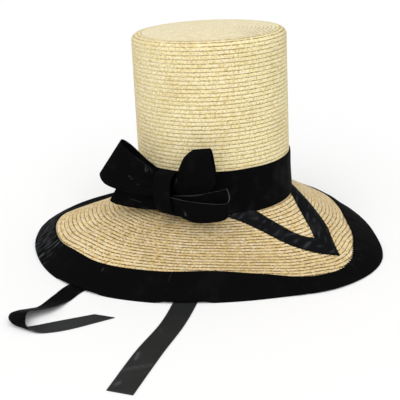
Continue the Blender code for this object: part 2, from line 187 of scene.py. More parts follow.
# Bow: its turn round the crown, then for each loop the x, height and rise off the band in mm
# of its two edges
BOW_TURN = math.radians(-26.5)
LOOP_STEPS = 168
LOOP_ACROSS = 32
RIB_PITCH = 0.6 * MM
LEFT_LOOP = [
    (-8, 28, 2.6, -8, 50, 2.6),
    (-38, 30, 5.0, -32, 67, 6.0),
    (-78, 39.5, 11.0, -53, 89, 12.0),
    (-95, 50, 19.0, -60, 96, 19.0),
    (-83, 38.5, 26.0, -54.5, 91, 26.0),
    (-42, 30, 25.0, -32, 74, 25.0),
    (-8, 28, 16.0, -8, 54, 16.0),
]
LEFT_TAIL_LOOP = [
    (-5, 9, 1.0, -5, 33, 1.0),
    (-40, 8, 1.2, -40, 34, 1.2),
    (-77, 9, 3.0, -70, 33, 3.0),
    (-92, 10, 7.0, -79, 31, 7.0),
    (-78, 7.5, 12.0, -71, 29, 11.0),
    (-40, 6, 12.0, -40, 27, 10.5),
    (-6, 10, 10.0, -6, 25, 10.0),
]
RIGHT_LOOP = [
    (0, 36, -0.4, 26, 12, 1.7),
    (11, 59, 3.0, 54, 50, 6.0),
    (20.5, 80, 6.0, 55, 82, 9.0),
    (31, 89.5, 12.0, 53, 93.5, 13.0),
    (20.5, 80, 17.0, 56, 82, 18.0),
    (10, 57, 17.0, 57, 50, 16.0),
    (2, 38, 12.3, 28, 14, 14.4),
]
SIDE_LOOP = [
    (2, 13, 13.9, 2, 30.5, 13.9),
    (34, 8, 16.5, 34, 36.5, 18.6),
    (64, 14, 19.0, 64, 45.5, 20.5),
    (79, 21, 25.0, 77.5, 50.5, 24.0),
    (73, 14.5, 32.5, 79, 36.5, 32.0),
    (38, 8, 33.5, 38, 34.5, 35.5),
    (3, 14.5, 24.5, 3, 33.5, 27.0),
]
KNOT = [
    (-13, 54, -1.2, 8, 54, -1.2),
    (-14, 61.5, 12.0, 8, 60, 13.0),
    (-15, 55.5, 27.0, 8, 54.5, 29.0),
    (-14, 34, 33.0, 8, 34, 34.5),
    (-14, 17, 27.0, 9, 15, 30.0),
    (-13, 6.5, 14.5, 9, 6, 17.0),
    (-13, 3.6, 0.2, 8, 3.6, 0.2),
]

# The V: inner x, inner y, outer x, outer y in mm from the crown's axis, then the strips' gap
# over the brim, their heights, and the pitch of their folds across and along the edges
NEAR_ARM = [
    (48.6, -80.8, 14.5, -93.6),
    (73.5, -86.5, 53, -100.1),
    (96, -89.7, 88, -105.3),
    (110, -89, 124, -104),
    (123, -86, 153, -97.3),
]
FAR_ARM = [
    (97.6, -26.4, 101.2, 5),
    (104.5, -47, 121.5, -21.5),
    (113.5, -65.5, 140, -52.5),
    (118.8, -75.5, 146.6, -77),
    (123, -86, 153, -97.3),
]
ARM_STEPS = 200
ARM_TOPS = 28
ARM_GAP = 0.6 * MM
ARM_EDGE = 1.5 * MM
ARM_PUFF = 3.8 * MM
ARM_FOLD = 8.0 * MM
EDGE_FOLD = 3.6 * MM
MITRE_GAP = 0.35 * MM

# Ties: x, y, z of each edge in mm
TIE_THICK = 0.8 * MM
TIE_LOWEST = 0.6 * MM
TIE_ACROSS = 16
TIE_LEFT = [
    (-75.6, -51.3, 80.0, -57.6, -68.8, 80.0),
    (-75.4, -51.1, 55.0, -57.4, -68.6, 55.0),
    (-75.4, -51.1, 18.0, -57.4, -68.6, 18.0),
    (-82.0, -57.5, 2.0, -64.0, -75.0, 2.0),
    (-98.0, -73.0, 0.6, -80.0, -91.0, 0.6),
    (-136.0, -112.0, 0.6, -117.0, -129.0, 0.6),
    (-171.0, -149.2, 0.6, -150.0, -163.6, 0.6),
    (-184.0, -176.0, 0.6, -162.0, -186.0, 0.6),
    (-195.0, -201.0, 0.6, -176.0, -213.0, 6.5),
    (-205.0, -208.0, 1.1, -190.0, -226.0, 9.8),
    (-214.5, -218.0, 4.4, -199.0, -233.0, 11.8),
    (-220.0, -231.0, 7.6, -200.0, -242.0, 11.4),
    (-218.0, -243.0, 7.0, -198.0, -252.5, 7.6),
    (-207.5, -248.5, 3.0, -190.0, -257.5, 2.9),
    (-193.0, -244.0, 0.6, -176.0, -257.5, 0.6),
    (-165.0, -232.0, 0.6, -152.0, -249.5, 0.6),
    (-131.0, -218.0, 0.6, -108.0, -224.5, 0.6),
]
TIE_RIGHT = [
    (-30.0, -81.4, 80.0, -4.5, -85.4, 80.0),
    (-30.0, -81.4, 55.0, -4.5, -85.4, 55.0),
    (-30.0, -81.4, 18.0, -4.5, -85.4, 18.0),
    (-31.0, -89.0, 2.0, -5.5, -93.0, 2.0),
    (-34.0, -112.0, 0.6, -8.5, -116.0, 0.6),
    (-39.0, -150.0, 0.6, -13.5, -154.0, 0.6),
    (-46.0, -188.0, 0.6, -20.0, -193.0, 0.6),
    (-58.0, -237.0, 0.6, -32.5, -241.0, 0.6),
    (-79.0, -291.0, 0.6, -52.0, -296.0, 0.6),
    (-99.5, -357.0, 0.6, -74.0, -364.0, 0.6),
]

# Lines of painted highlight along folds, edges and glossy spots: for each ribbon the start and end
# as its place along and across the ribbon, the reach to each side in mm and the strength
HIGHLIGHT_LINES = {
    "bow_left_loop": (
        ((0.790, 0.985), (0.885, 0.985), 0.9, 0.48),
        ((0.866, 0.97), (0.872, 0.78), 0.8, 0.55),
        ((0.884, 0.93), (0.880, 0.84), 0.6, 0.40),
        ((0.892, 0.97), (0.908, 0.88), 0.7, 0.40),
        ((0.774, 0.44), (0.798, 0.41), 1.0, 0.30),
        ((0.818, 0.33), (0.845, 0.30), 0.7, 0.22),
    ),
    "bow_left_tail_loop": (
        ((0.755, 0.51), (0.812, 0.42), 0.8, 0.35),
        ((0.815, 0.08), (0.850, 0.08), 0.7, 0.30),
    ),
    "bow_right_loop": (
        ((0.860, 0.03), (0.905, 0.04), 0.7, 0.38),
    ),
    "bow_side_loop": (
        ((0.030, 0.97), (0.210, 0.99), 1.0, 0.50),
        ((0.900, 0.46), (0.868, 0.42), 0.6, 0.25),
        ((0.882, 0.34), (0.880, 0.24), 1.3, 0.85),
    ),
    "tie_right": (
        ((0.909, 0.22), (0.894, 0.16), 2.4, 0.9),
        ((0.976, 0.18), (0.970, 0.26), 2.6, 0.8),
        ((0.939, 0.06), (0.919, 0.92), 1.9, 0.45),
        ((0.803, 0.20), (0.812, 0.34), 1.8, 0.25),
    ),
}

# Camera in the hat's frame, way of the broad light and half the floor's side
CAMERA_AT = (0.0, -0.9628, 0.4307)
CAMERA_PITCH = 0.3766
CAMERA_PAN = -0.0209
SENSOR_WIDTH = 36.0
KEY_DIRECTION = (0.06, 0.63, -0.76)
FLOOR_HALF = 40.0

HAT_PLACE = Matrix.Translation((HAT_X, HAT_Y, 0))
CROWN_PLACE = (HAT_PLACE @ Matrix.Translation((0, 0, CROWN_BASE_HEIGHT))
               @ Matrix.Rotation(-CROWN_LEAN, 4, "Y"))


class StrawSettings(bpy.types.PropertyGroup):
    """Braided straw of the crown and the brim."""

    row_relief: FloatProperty(
        name="Row Relief", description="Rise of a braid row over the next",
        default=0.7 * MM, min=0.0, max=2 * MM, unit="LENGTH")
    brim_rows: IntProperty(
        name="Brim Rows", description="Braid rows between the crown and the binding",
        default=20, min=8, max=40, subtype="UNSIGNED")
    crown_colour: FloatVectorProperty(
        name="Crown Straw", description="Colour of the straw where light falls on it",
        subtype="COLOR", size=4, default=(0.91, 0.785, 0.425, 1.0))
    # Darker than the crown's straw: partly the brim's own tone, partly painted shade
    brim_tone_and_shade: FloatVectorProperty(
        name="Brim Straw", description="Colour of the brim's straw",
        subtype="COLOR", size=4, default=(0.71, 0.54, 0.25, 1.0))
    # The shade colours are painted shade in the hollows between the straws and along the rows'
    # edges
    crown_shade: FloatVectorProperty(
        name="Crown Shade", description="Colour between the crown's straws and rows",
        subtype="COLOR", size=4, default=(0.22, 0.135, 0.03, 1.0))
    brim_shade: FloatVectorProperty(
        name="Brim Shade", description="Colour between the brim's straws and rows",
        subtype="COLOR", size=4, default=(0.085, 0.042, 0.008, 1.0))


class VelvetSettings(bpy.types.PropertyGroup):
    """Velvet and ribbon of the trim."""

    velvet_colour: FloatVectorProperty(
        name="Velvet", description="Colour of the velvet's pile",
        subtype="COLOR", size=4, default=(0.0022, 0.0022, 0.0024, 1.0))
    # Crushed pile: its paler patches also stand in for painted sheen
    crush_and_sheen_colour: FloatVectorProperty(
        name="Crushed Velvet", description="Colour where the pile lies flat",
        subtype="COLOR", size=4, default=(0.011, 0.011, 0.012, 1.0))
    # Painted highlight: the colour of pale streaks and spots where light would catch the pile,
    # also used for the seams' thread
    highlight_colour: FloatVectorProperty(
        name="Laid Velvet", description="Colour where the pile lies over and shines",
        subtype="COLOR", size=4, default=(0.060, 0.065, 0.070, 1.0))
    satin_colour: FloatVectorProperty(
        name="Satin", description="Colour of the ribbon's back",
        subtype="COLOR", size=4, default=(0.0074, 0.0086, 0.0087, 1.0))
    # Painted glints where the woven edge's threads catch the light
    selvage_glint_colour: FloatVectorProperty(
        name="Selvage", description="Colour of the ribbon's woven edge",
        subtype="COLOR", size=4, default=(0.062, 0.064, 0.066, 1.0))
    sheen: FloatProperty(
        name="Pile Sheen", description="Strength of the light caught by the pile",
        default=0.04, min=0.0, max=1.0, subtype="FACTOR")


class StageSettings(bpy.types.PropertyGroup):
    """Floor, lights and camera."""

    lens: FloatProperty(
        name="Lens", description="Focal length of the camera in millimetres",
        default=70.2, min=10, max=300, unit="CAMERA")
    floor_colour: FloatVectorProperty(
        name="Floor", description="Colour of the floor",
        subtype="COLOR", size=4, default=(0.86, 0.86, 0.86, 1.0))
    sky_light: FloatProperty(
        name="Sky Light", description="Strength of the light from all round",
        default=0.56, min=0.0, max=10.0, subtype="UNSIGNED")
    key_light: FloatProperty(
        name="Key Light", description="Strength of the broad light over the front",
        default=2.52, min=0.0, max=20.0, subtype="UNSIGNED")
    key_spread: FloatProperty(
        name="Key Spread", description="Width of the broad light as seen from the hat",
        default=math.radians(75), min=0.0, max=math.pi, subtype="ANGLE")


# Geometry


def blend(a, b, t):
    """Point or row between two of equal length."""
    return tuple(p + (q - p) * t for p, q in zip(a, b))


def curve_row(rows, place, closed=False):
    """Row at a place counted in rows, on the smooth curve through all of them."""
    count = len(rows)
    index = int(math.floor(place))
    if not closed:
        index = min(max(index, 0), count - 2)
    t = place - index

    def row(k):
        return rows[k % count] if closed else rows[min(max(k, 0), count - 1)]

    values = []
    for a, b, c, d in zip(row(index - 1), row(index), row(index + 1), row(index + 2)):
        values.append(0.5 * (2 * b + (c - a) * t + (2 * a - 5 * b + 4 * c - d) * t ** 2
                             + (3 * b - a - 3 * c + d) * t ** 3))
    return tuple(values)


def oval_reach(azimuth, half_length, half_width):
    """Distance from the axis to an oval in one direction."""
    return 1 / math.hypot(math.cos(azimuth) / half_length, math.sin(azimuth) / half_width)


def fade(distance, inner, width):
    """1 up to the inner distance, falling smoothly to 0 over the width after it."""
    t = min(max((distance - inner) / width, 0.0), 1.0)
    return 1 - t * t * (3 - 2 * t)


def turn_between(azimuth, centre):
    """Angle between two directions, never over half a turn."""
    return abs((azimuth - centre + math.pi) % (2 * math.pi) - math.pi)


def edge_lift(azimuth):
    """How far the brim's edge is lifted where a tie comes out."""
    lift = 0.0
    for centre in TIE_EXITS:
        off = turn_between(azimuth, centre)
        lift = max(lift, TIE_EXIT_LIFT * fade(off, TIE_EXIT_HALF_TURN, TIE_EXIT_FADE))
    return lift


def brim_corners(azimuth):
    """Inner rim, flange's end, binding line and edge of the brim's middle surface."""
    reach, height, slope, width = curve_row(BRIM_SECTIONS, azimuth / SECTION_TURN, True)
    wrap = STRAW / 2 + BINDING_GAP + VELVET
    side = CROWN_HALF_LENGTH * OVAL_RATIO
    rim_reach = oval_reach(azimuth, CROWN_HALF_LENGTH - STRAW, side - STRAW)
    flange_reach = oval_reach(azimuth, CROWN_HALF_LENGTH + FLANGE_WIDTH, side + FLANGE_WIDTH)
    seat = CROWN_BASE_HEIGHT - GAP - STRAW / 2
    tilt = math.tan(CROWN_LEAN) * math.cos(azimuth)
    rim = (rim_reach, seat + tilt * rim_reach)
    flange = (flange_reach, seat + tilt * flange_reach)
    edge = (reach * MM - wrap, max(height, 0.0) * MM + wrap - EDGE_SETTLE)
    turn = math.radians(slope)
    off = turn_between(azimuth, NARROW_AT)
    bound = width * MM - NARROW_BY * fade(off, NARROW_HALF_TURN, NARROW_FADE)
    bound += WIDE_BY * fade(turn_between(azimuth, WIDE_AT), 0.0, WIDE_FADE)
    line = (edge[0] - bound * math.cos(turn), edge[1] + bound * math.sin(turn))
    edge = (edge[0], edge[1] + edge_lift(azimuth))
    return rim, flange, line, edge


def brim_curve(azimuth):
    """Middle surface of the brim in one direction, as a function of the place along it.

    The place is -1 at the rim, 0 at the flange's end, 1 at the binding and 2 at the edge.
    """
    rim, flange, line, edge = brim_corners(azimuth)
    slope_in = math.atan2(line[1] - flange[1], line[0] - flange[0])
    slope_out = math.atan2(edge[1] - line[1], edge[0] - line[0])
    turn = (slope_in + slope_out) / 2
    sides = []
    for start, end, inner in ((flange, line, True), (line, edge, False)):
        length = math.dist(start, end)
        chord = (end[0] - start[0], end[1] - start[1])
        smooth = (math.cos(turn) * length, math.sin(turn) * length)
        sides.append((start, end) + ((chord, smooth) if inner else (smooth, chord)))

    def middle(place):
        if place <= 0:
            return blend(flange, rim, -place)
        start, end, leave, arrive = sides[0 if place <= 1 else 1]
        t = place if place <= 1 else place - 1
        h = (2 * t ** 3 - 3 * t ** 2 + 1, t ** 3 - 2 * t ** 2 + t,
             3 * t ** 2 - 2 * t ** 3, t ** 3 - t ** 2)
        return tuple(h[0] * start[k] + h[1] * leave[k] + h[2] * end[k] + h[3] * arrive[k]
                     for k in (0, 1))

    return middle


def offset_from(middle, place, offset):
    """Point at a height over a brim curve, as (reach, height), and the curve's direction."""
    step = 0.02
    low = middle(max(place - step, -1))
    high = middle(min(place + step, 2))
    run = math.dist(low, high)
    along = ((high[0] - low[0]) / run, (high[1] - low[1]) / run)
    point = middle(place)
    return (point[0] - along[1] * offset, point[1] + along[0] * offset), along


def turned(azimuth, section):
    """Point of a section, given as (reach, height), in the frame."""
    return HAT_PLACE @ Vector((math.cos(azimuth) * section[0],
                               math.sin(azimuth) * section[0], section[1]))


def grid_shape(rows, around, along, across_values=None, repeats=None, painted_highlight=None):
    """Grid bent through rows of points, closed round its section and along its rows where asked.

    Its UV runs along the section with the values given for its columns, and along the rows
    from 0 to the number of repeats given for each strip between two columns. The painted
    highlight at each point is kept with it.
    """
    across = len(rows[0])
    columns = across if around else across - 1
    lines = len(rows) if along else len(rows) - 1
    across_values = across_values or [column / columns for column in range(columns + 1)]
    repeats = repeats or [1.0] * columns
    shape = bmesh.new()
    bmesh.ops.create_grid(shape, x_segments=columns, y_segments=lines, size=0.5)
    layer = shape.loops.layers.uv.new("Weave")
    shine = shape.verts.layers.float.new("Highlight")
    places = {}
    for vertex in shape.verts:
        places[vertex] = (round((vertex.co.x + 0.5) * columns),
                          round((vertex.co.y + 0.5) * lines))
    for face in shape.faces:
        strip = min(places[vertex][0] for vertex in face.verts)
        for loop in face.loops:
            column, line = places[loop.vert]
            loop[layer].uv = (across_values[column], line / lines * repeats[strip])
    for vertex, (column, line) in places.items():
        vertex.co = rows[line % len(rows)][column % across]
        if painted_highlight:
            vertex[shine] = painted_highlight[line % len(rows)][column % across]
    bmesh.ops.remove_doubles(shape, verts=shape.verts, dist=0.002 * MM)
    if around:
        bmesh.ops.recalc_face_normals(shape, faces=shape.faces)
    return shape


def finish_piece(name, shape, finishes, node):
    """Object from a finished shape, riding on the frame in place of its CAD node."""
    mesh = bpy.data.meshes.new(name)
    shape.to_mesh(mesh)
    shape.free()
    mesh.shade_smooth()
    piece = bpy.data.objects.new(name, mesh)
    bpy.context.scene.collection.objects.link(piece)
    for finish in finishes:
        mesh.materials.append(finish)
    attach(piece, "root")
    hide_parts(node)
    return piece


def add_wall(piece, thickness, offset, back=0, rim=0):
    """Give a sheet its thickness, with the materials of its back and its edge."""
    wall = piece.modifiers.new("Wall", "SOLIDIFY")
    wall.thickness = thickness
    wall.offset = offset
    wall.use_even_offset = False
    wall.material_offset = back
    wall.material_offset_rim = rim


# Materials


class Nodes:
    """Small helper that adds and links shader nodes."""

    def __init__(self, name):
        self.material = bpy.data.materials.new(name)
        self.material.use_nodes = True
        self.tree = self.material.node_tree
        self.shader = self.tree.nodes["Principled BSDF"]

    def add(self, kind, inputs=(), **settings):
        """New node with its settings, and its inputs set or linked."""
        node = self.tree.nodes.new(kind)
        for key, value in settings.items():
            setattr(node, key, value)
        for key, value in dict(inputs).items():
            self.put(node.inputs[key], value)
        return node

    def put(self, socket, value):
        """Set an input, or link it where the value comes from another node."""
        if isinstance(value, bpy.types.NodeSocket):
            self.tree.links.new(value, socket)
        else:
            socket.default_value = value

    def calc(self, operation, first, second=0.0):
        """Result of one sum on one or two values."""
        node = self.add("ShaderNodeMath", {0: first, 1: second}, operation=operation)
        return node.outputs[0]

    def mix(self, factor, first, second):
        """Colour between two, by a factor."""
        node = self.add("ShaderNodeMix", {0: factor, 6: first, 7: second}, data_type="RGBA")
        return node.outputs[2]

    def spread(self, value, low, high, to_low=0.0, to_high=1.0):
        """A value mapped smoothly from one range to another."""
        node = self.add("ShaderNodeMapRange", {0: value, 1: low, 2: high, 3: to_low, 4: to_high},
                        interpolation_type="SMOOTHSTEP")
        return node.outputs[0]

    def cloud(self, scale, detail=3.0, roughness=0.5):
        """Noise over the object's own space."""
        place = self.add("ShaderNodeTexCoord").outputs["Object"]
        return self.add("ShaderNodeTexNoise", {
            "Vector": place, "Scale": scale, "Detail": detail,
            "Roughness": roughness}).outputs["Fac"]

    def set(self, **values):
        """Set or link inputs of the surface."""
        names = {"colour": "Base Color", "roughness": "Roughness", "normal": "Normal",
                 "specular": "Specular IOR Level", "sheen": "Sheen Weight",
                 "sheen_roughness": "Sheen Roughness", "sheen_tint": "Sheen Tint"}
        for key, value in values.items():
            self.put(self.shader.inputs[names[key]], value)

    def bump(self, height, distance, strength):
        """Surface direction over a fine relief."""
        node = self.add("ShaderNodeBump", {
            "Height": height, "Distance": distance, "Strength": strength})
        return node.outputs[0]


def straw_finish(name, colour, shade, contrast, line_depth, width, straws, tip_rows=0):
    """Rows of plaited straw: split straws that pass over and under each other aslant, with painted
    shade between the straws and along the rows' edges, and painted light towards the crown's right
    and the brim's ends.
    """
    n = Nodes(name)
    weave = n.add("ShaderNodeUVMap", uv_map="Weave").outputs[0]
    split = n.add("ShaderNodeSeparateXYZ", {0: weave})
    row = split.outputs[0]
    row_number = n.calc("FLOOR", row)
    start = n.add("ShaderNodeTexWhiteNoise", {"W": row_number}, noise_dimensions="1D").outputs[0]
    turn = n.calc("ADD", split.outputs[1], start)
    across = n.calc("MULTIPLY", row, straws)
    along = n.calc("MULTIPLY", turn, straws)
    rising = n.calc("ADD", across, along)
    falling = n.calc("SUBTRACT", across, along)
    rising_number = n.calc("FLOOR", rising)
    falling_number = n.calc("FLOOR", falling)
    over = n.calc("FLOORED_MODULO", n.calc("ADD", rising_number, falling_number), 2.0)
    rising_round = n.calc("SINE", n.calc("MULTIPLY", n.calc("FRACT", rising), math.pi))
    falling_round = n.calc("SINE", n.calc("MULTIPLY", n.calc("FRACT", falling), math.pi))
    straw = n.add("ShaderNodeMix", {0: over, 2: falling_round, 3: rising_round},
                  data_type="FLOAT").outputs[0]
    cell = n.add("ShaderNodeCombineXYZ", {0: rising_number, 1: falling_number,
                                          2: row_number}).outputs[0]
    tone = n.add("ShaderNodeTexWhiteNoise", {"Vector": cell}, noise_dimensions="3D").outputs[0]
    in_row = n.calc("FRACT", row)
    beat = n.calc("SINE", n.calc("MULTIPLY", turn, 2 * math.pi))
    uneven = n.cloud(150, 3.0)
    # Painted shade along both edges of each row, where one row laps over the next, broken up along
    # the row
    line = n.calc("MAXIMUM", n.spread(in_row, 0.96 - width, 0.97),
                  n.spread(in_row, 0.6 * width, 0.01))
    broken = n.spread(n.calc("ADD", n.calc("MULTIPLY", beat, 0.35),
                             n.calc("MULTIPLY", uneven, 5.0)), 1.3, 3.0, 0.25, 1.0)
    line = n.calc("MULTIPLY", line, broken)
    patches = n.cloud(22, 3.0)
    pale = tuple(min(1.0, c + (0.97 - c) * 0.45 * contrast) for c in colour[:3]) + (1.0,)
    tanned = tuple(c * (1 - k * contrast) for c, k in zip(colour[:3], TANNED_LOSS)) + (1.0,)
    place = n.add("ShaderNodeTexCoord").outputs["Object"]
    side = n.add("ShaderNodeSeparateXYZ", {0: place}).outputs[0]
    # Painted light: the crown grows paler towards its right side and the brim towards its ends
    if tip_rows:
        ends, paler = n.spread(side, *PAINTED_LIGHT_SIDE), CROWN_PAINTED_LIGHT
    else:
        ends, paler = n.spread(n.calc("ABSOLUTE", side), *PAINTED_LIGHT_ENDS), BRIM_PAINTED_LIGHT
    painted_light_colour = tuple(min(1.0, c * k) for c, k in zip(colour[:3], paler)) + (1.0,)
    colour = n.mix(ends, colour, painted_light_colour)
    body = n.mix(n.spread(tone, 0.50, 1.0), colour, pale)
    body = n.mix(n.spread(tone, 0.45, 0.0, 0.0, 0.95), body, tanned)
    body = n.mix(n.spread(patches, 0.42, 0.72, 0.0, 0.25), body, tanned)
    # Painted shade in the hollows between the straws
    body = n.mix(n.spread(straw, 0.0, 0.5, 0.75 * contrast, 0.0), body, shade)
    if tip_rows:
        on_tip = n.spread(row, tip_rows - 1.5, tip_rows, 1.0, 0.0)
        # Paler straw over the tip's rows, with a mottle of darker tone
        body = n.mix(n.calc("MULTIPLY", on_tip, 0.6), body, PALE_TIP_STRAW)
        mottle = n.spread(n.cloud(170, 4.0), 0.40, 0.64, 0.0, 0.26)
        body = n.mix(n.calc("MULTIPLY", on_tip, mottle), body, tanned)
        # The painted row shade fades out towards the crown's left, where light falls straight on,
        # and on the tip it stays faint except at the right
        line = n.calc("MULTIPLY", line, n.spread(side, *LIT_LEFT_SIDE, 0.25, 1.0))
        calm = n.calc("MULTIPLY", on_tip, n.spread(side, *PAINTED_LIGHT_SIDE, 0.75, 0.1))
        line = n.calc("MULTIPLY", line, n.calc("SUBTRACT", 1.0, calm))
        # Painted shade deepens along the rows at the tip's shoulder
        fold = n.spread(n.calc("ABSOLUTE", n.calc("SUBTRACT", row, tip_rows + 0.5)), 2.0, 1.2)
        fold = n.calc("MULTIPLY", fold, n.spread(in_row, 0.30, 0.05, 0.0, 0.8))
        line = n.calc("MAXIMUM", line, n.calc("MULTIPLY", fold, n.spread(uneven, 0.38, 0.55)))
    body = n.mix(n.calc("MULTIPLY", line, line_depth), body, shade)
    height = n.calc("SUBTRACT", n.calc("MULTIPLY", straw, 0.8), n.calc("MULTIPLY", line, 0.8))
    height = n.calc("ADD", height, n.calc("MULTIPLY", n.cloud(900, 2.0), 0.15))
    n.set(colour=body, roughness=n.spread(straw, 0.0, 1.0, 0.75, 0.50), specular=0.14,
          normal=n.bump(height, 0.35 * MM, 0.8))
    return n.material


def velvet_finish(name, velvet, crush_and_sheen=1.0, catch=1.0):
    """Black pile: nearly no light straight on, a soft sheen at its turns, paler crushed patches
    that also stand in for painted sheen, and painted highlights.
    """
    n = Nodes(name)
    # Crushed patches, paler partly as painted sheen
    flat = n.spread(n.cloud(38, 4.0, 0.6), 0.48, 0.72, 0.0, 0.8 * crush_and_sheen)
    pile = n.cloud(2600, 2.0)
    # Painted highlight kept on the mesh: streaks and spots where light would catch the pile
    painted_highlight = n.add("ShaderNodeAttribute", attribute_name="Highlight").outputs["Fac"]
    body = n.mix(flat, velvet.velvet_colour, velvet.crush_and_sheen_colour)
    body = n.mix(painted_highlight, body, velvet.highlight_colour)
    height = n.calc("ADD", n.calc("MULTIPLY", pile, 0.6), n.calc("MULTIPLY", flat, 0.4))
    n.set(colour=body, roughness=0.92, specular=0.03, sheen=velvet.sheen * catch,
          sheen_roughness=0.30, sheen_tint=(0.80, 0.84, 0.90, 1.0),
          normal=n.bump(height, 0.25 * MM, 0.6))
    return n.material


def satin_finish(name, velvet):
    """Back of the ribbon: fine ribs across it, with a soft gloss."""
    n = Nodes(name)
    weave = n.add("ShaderNodeUVMap", uv_map="Weave").outputs[0]
    split = n.add("ShaderNodeSeparateXYZ", {0: weave})
    ribs = n.calc("SINE", n.calc("MULTIPLY", split.outputs[1], 2 * math.pi))
    patches = n.cloud(60, 3.0)
    # Painted highlight kept on the mesh: glossy spots and streaks
    painted_highlight = n.add("ShaderNodeAttribute", attribute_name="Highlight").outputs["Fac"]
    body = n.mix(n.spread(patches, 0.35, 0.75, 0.0, 0.6), velvet.satin_colour,
                 tuple(c * 1.7 for c in velvet.satin_colour[:3]) + (1.0,))
    body = n.mix(painted_highlight, body, velvet.highlight_colour)
    height = n.calc("ADD", n.calc("MULTIPLY", ribs, 0.5), n.cloud(900, 2.0))
    n.set(colour=body, roughness=0.45, specular=0.28, sheen=0.05, sheen_roughness=0.4,
          normal=n.bump(height, 0.08 * MM, 0.7))
    return n.material


def selvage_finish(name, velvet):
    """Woven edge of the ribbon, whose threads catch the light here and there."""
    n = Nodes(name)
    threads = n.cloud(1500, 2.0)
    caught = n.calc("MULTIPLY", n.spread(threads, 0.3, 0.7), n.spread(n.cloud(75), 0.36, 0.6))
    body = n.mix(caught, velvet.satin_colour, velvet.selvage_glint_colour)
    n.set(colour=body, roughness=0.55, specular=0.4, normal=n.bump(threads, 0.1 * MM, 0.6))
    return n.material


# Pieces


def crown_path(inset):
    """Close points down the crown's outline from the middle of its tip to its foot."""
    side = CROWN_HALF_AT_TIP - inset
    top = TIP_EDGE_HEIGHT - inset
    radius = SHOULDER_RADIUS - inset
    crease = side - radius
    tip_steps = 40
    turn_steps = 14
    points = []
    for step in range(tip_steps):
        share = step / tip_steps
        points.append((crease * share, top + TIP_DOME * (1 - share ** 1.6)))
    for step in range(turn_steps + 1):
        turn = math.pi / 2 * (1 - step / turn_steps)
        points.append((crease + radius * math.cos(turn), top - radius + radius * math.sin(turn)))
    points.append((CROWN_HALF_AT_BAND_TOP - inset, BAND_HEIGHT))
    points.append((CROWN_HALF_LENGTH - inset, 0.0))
    return points


def path_lengths(points):
    """Distance along a path at each of its points."""
    lengths = [0.0]
    for a, b in zip(points, points[1:]):
        lengths.append(lengths[-1] + math.dist(a, b))
    return lengths


def along_path(points, lengths, distance):
    """Point at a distance along a path, and the direction out of it."""
    index = 0
    while index < len(points) - 2 and lengths[index + 1] < distance:
        index += 1
    a, b = points[index], points[index + 1]
    run = lengths[index + 1] - lengths[index]
    t = min(max((distance - lengths[index]) / run, 0.0), 1.0)
    along = ((b[0] - a[0]) / run, (b[1] - a[1]) / run)
    return blend(a, b, t), (-along[1], along[0])


def braided_wall(inset, relief, rise, outward):
    """Section of braid rows from the tip to the foot: (reach, height) with its row number."""
    points = crown_path(inset)
    lengths = path_lengths(points)
    pitch = lengths[-1] / CROWN_ROWS
    section = []
    for row in range(CROWN_ROWS):
        for place, share in relief:
            spot, out = along_path(points, lengths, (row + place) * pitch)
            lift = rise * (share - 0.5) * outward
            section.append(((max(spot[0] + out[0] * lift, 0.0) if row or place else 0.0,
                             spot[1] + out[1] * lift), row + place))
    section.append((points[-1], float(CROWN_ROWS)))
    return section


class HAT_OT_crown(bpy.types.Operator):
    """Tall oval crown of braided straw rows, open below"""

    bl_idname = "straw_hat.crown"
    bl_label = "Crown"

    def execute(self, context):
        straw = context.scene.straw_hat_straw
        outside = braided_wall(0.0, ROW_RELIEF, straw.row_relief * 0.55, 1)
        inside = braided_wall(STRAW, INSIDE_RELIEF, straw.row_relief * 0.6, -1)
        section = outside + list(reversed(inside))
        rows = []
        for line in range(CROWN_TURN_STEPS):
            azimuth = 2 * math.pi * line / CROWN_TURN_STEPS
            around = Vector((math.cos(azimuth), math.sin(azimuth) * OVAL_RATIO, 0))
            rows.append([CROWN_PLACE @ (around * spot[0] + Vector((0, 0, spot[1])))
                         for spot, row in section])
        values = [row for spot, row in section] + [section[0][1]]
        mean = (1 + OVAL_RATIO) / 2
        repeats = []
        for (spot, row), value in zip(section, values[1:]):
            reach = CROWN_HALF_LENGTH * min(1.0, (math.floor(min(row, value) + 0.01) + 0.5)
                                            / (CROWN_ROWS * 0.32))
            repeats.append(max(3, round(2 * math.pi * reach * mean / PLAIT_LENGTH)))
        shape = grid_shape(rows, True, True, values, repeats)
        finish_piece("crown_braid", shape,
                     [straw_finish("crown_straw_plait", straw.crown_colour, straw.crown_shade,
                                   contrast=0.95, line_depth=0.92, width=0.15, straws=3.0,
                                   tip_rows=TIP_ROWS)],
                     "crown")
        return {"FINISHED"}


def brim_row_count(azimuth, rows):
    """Rows between the crown and the binding, which cuts some of them."""
    return rows * curve_row(BRIM_ROW_SHARES, azimuth / SECTION_TURN, True)[0]


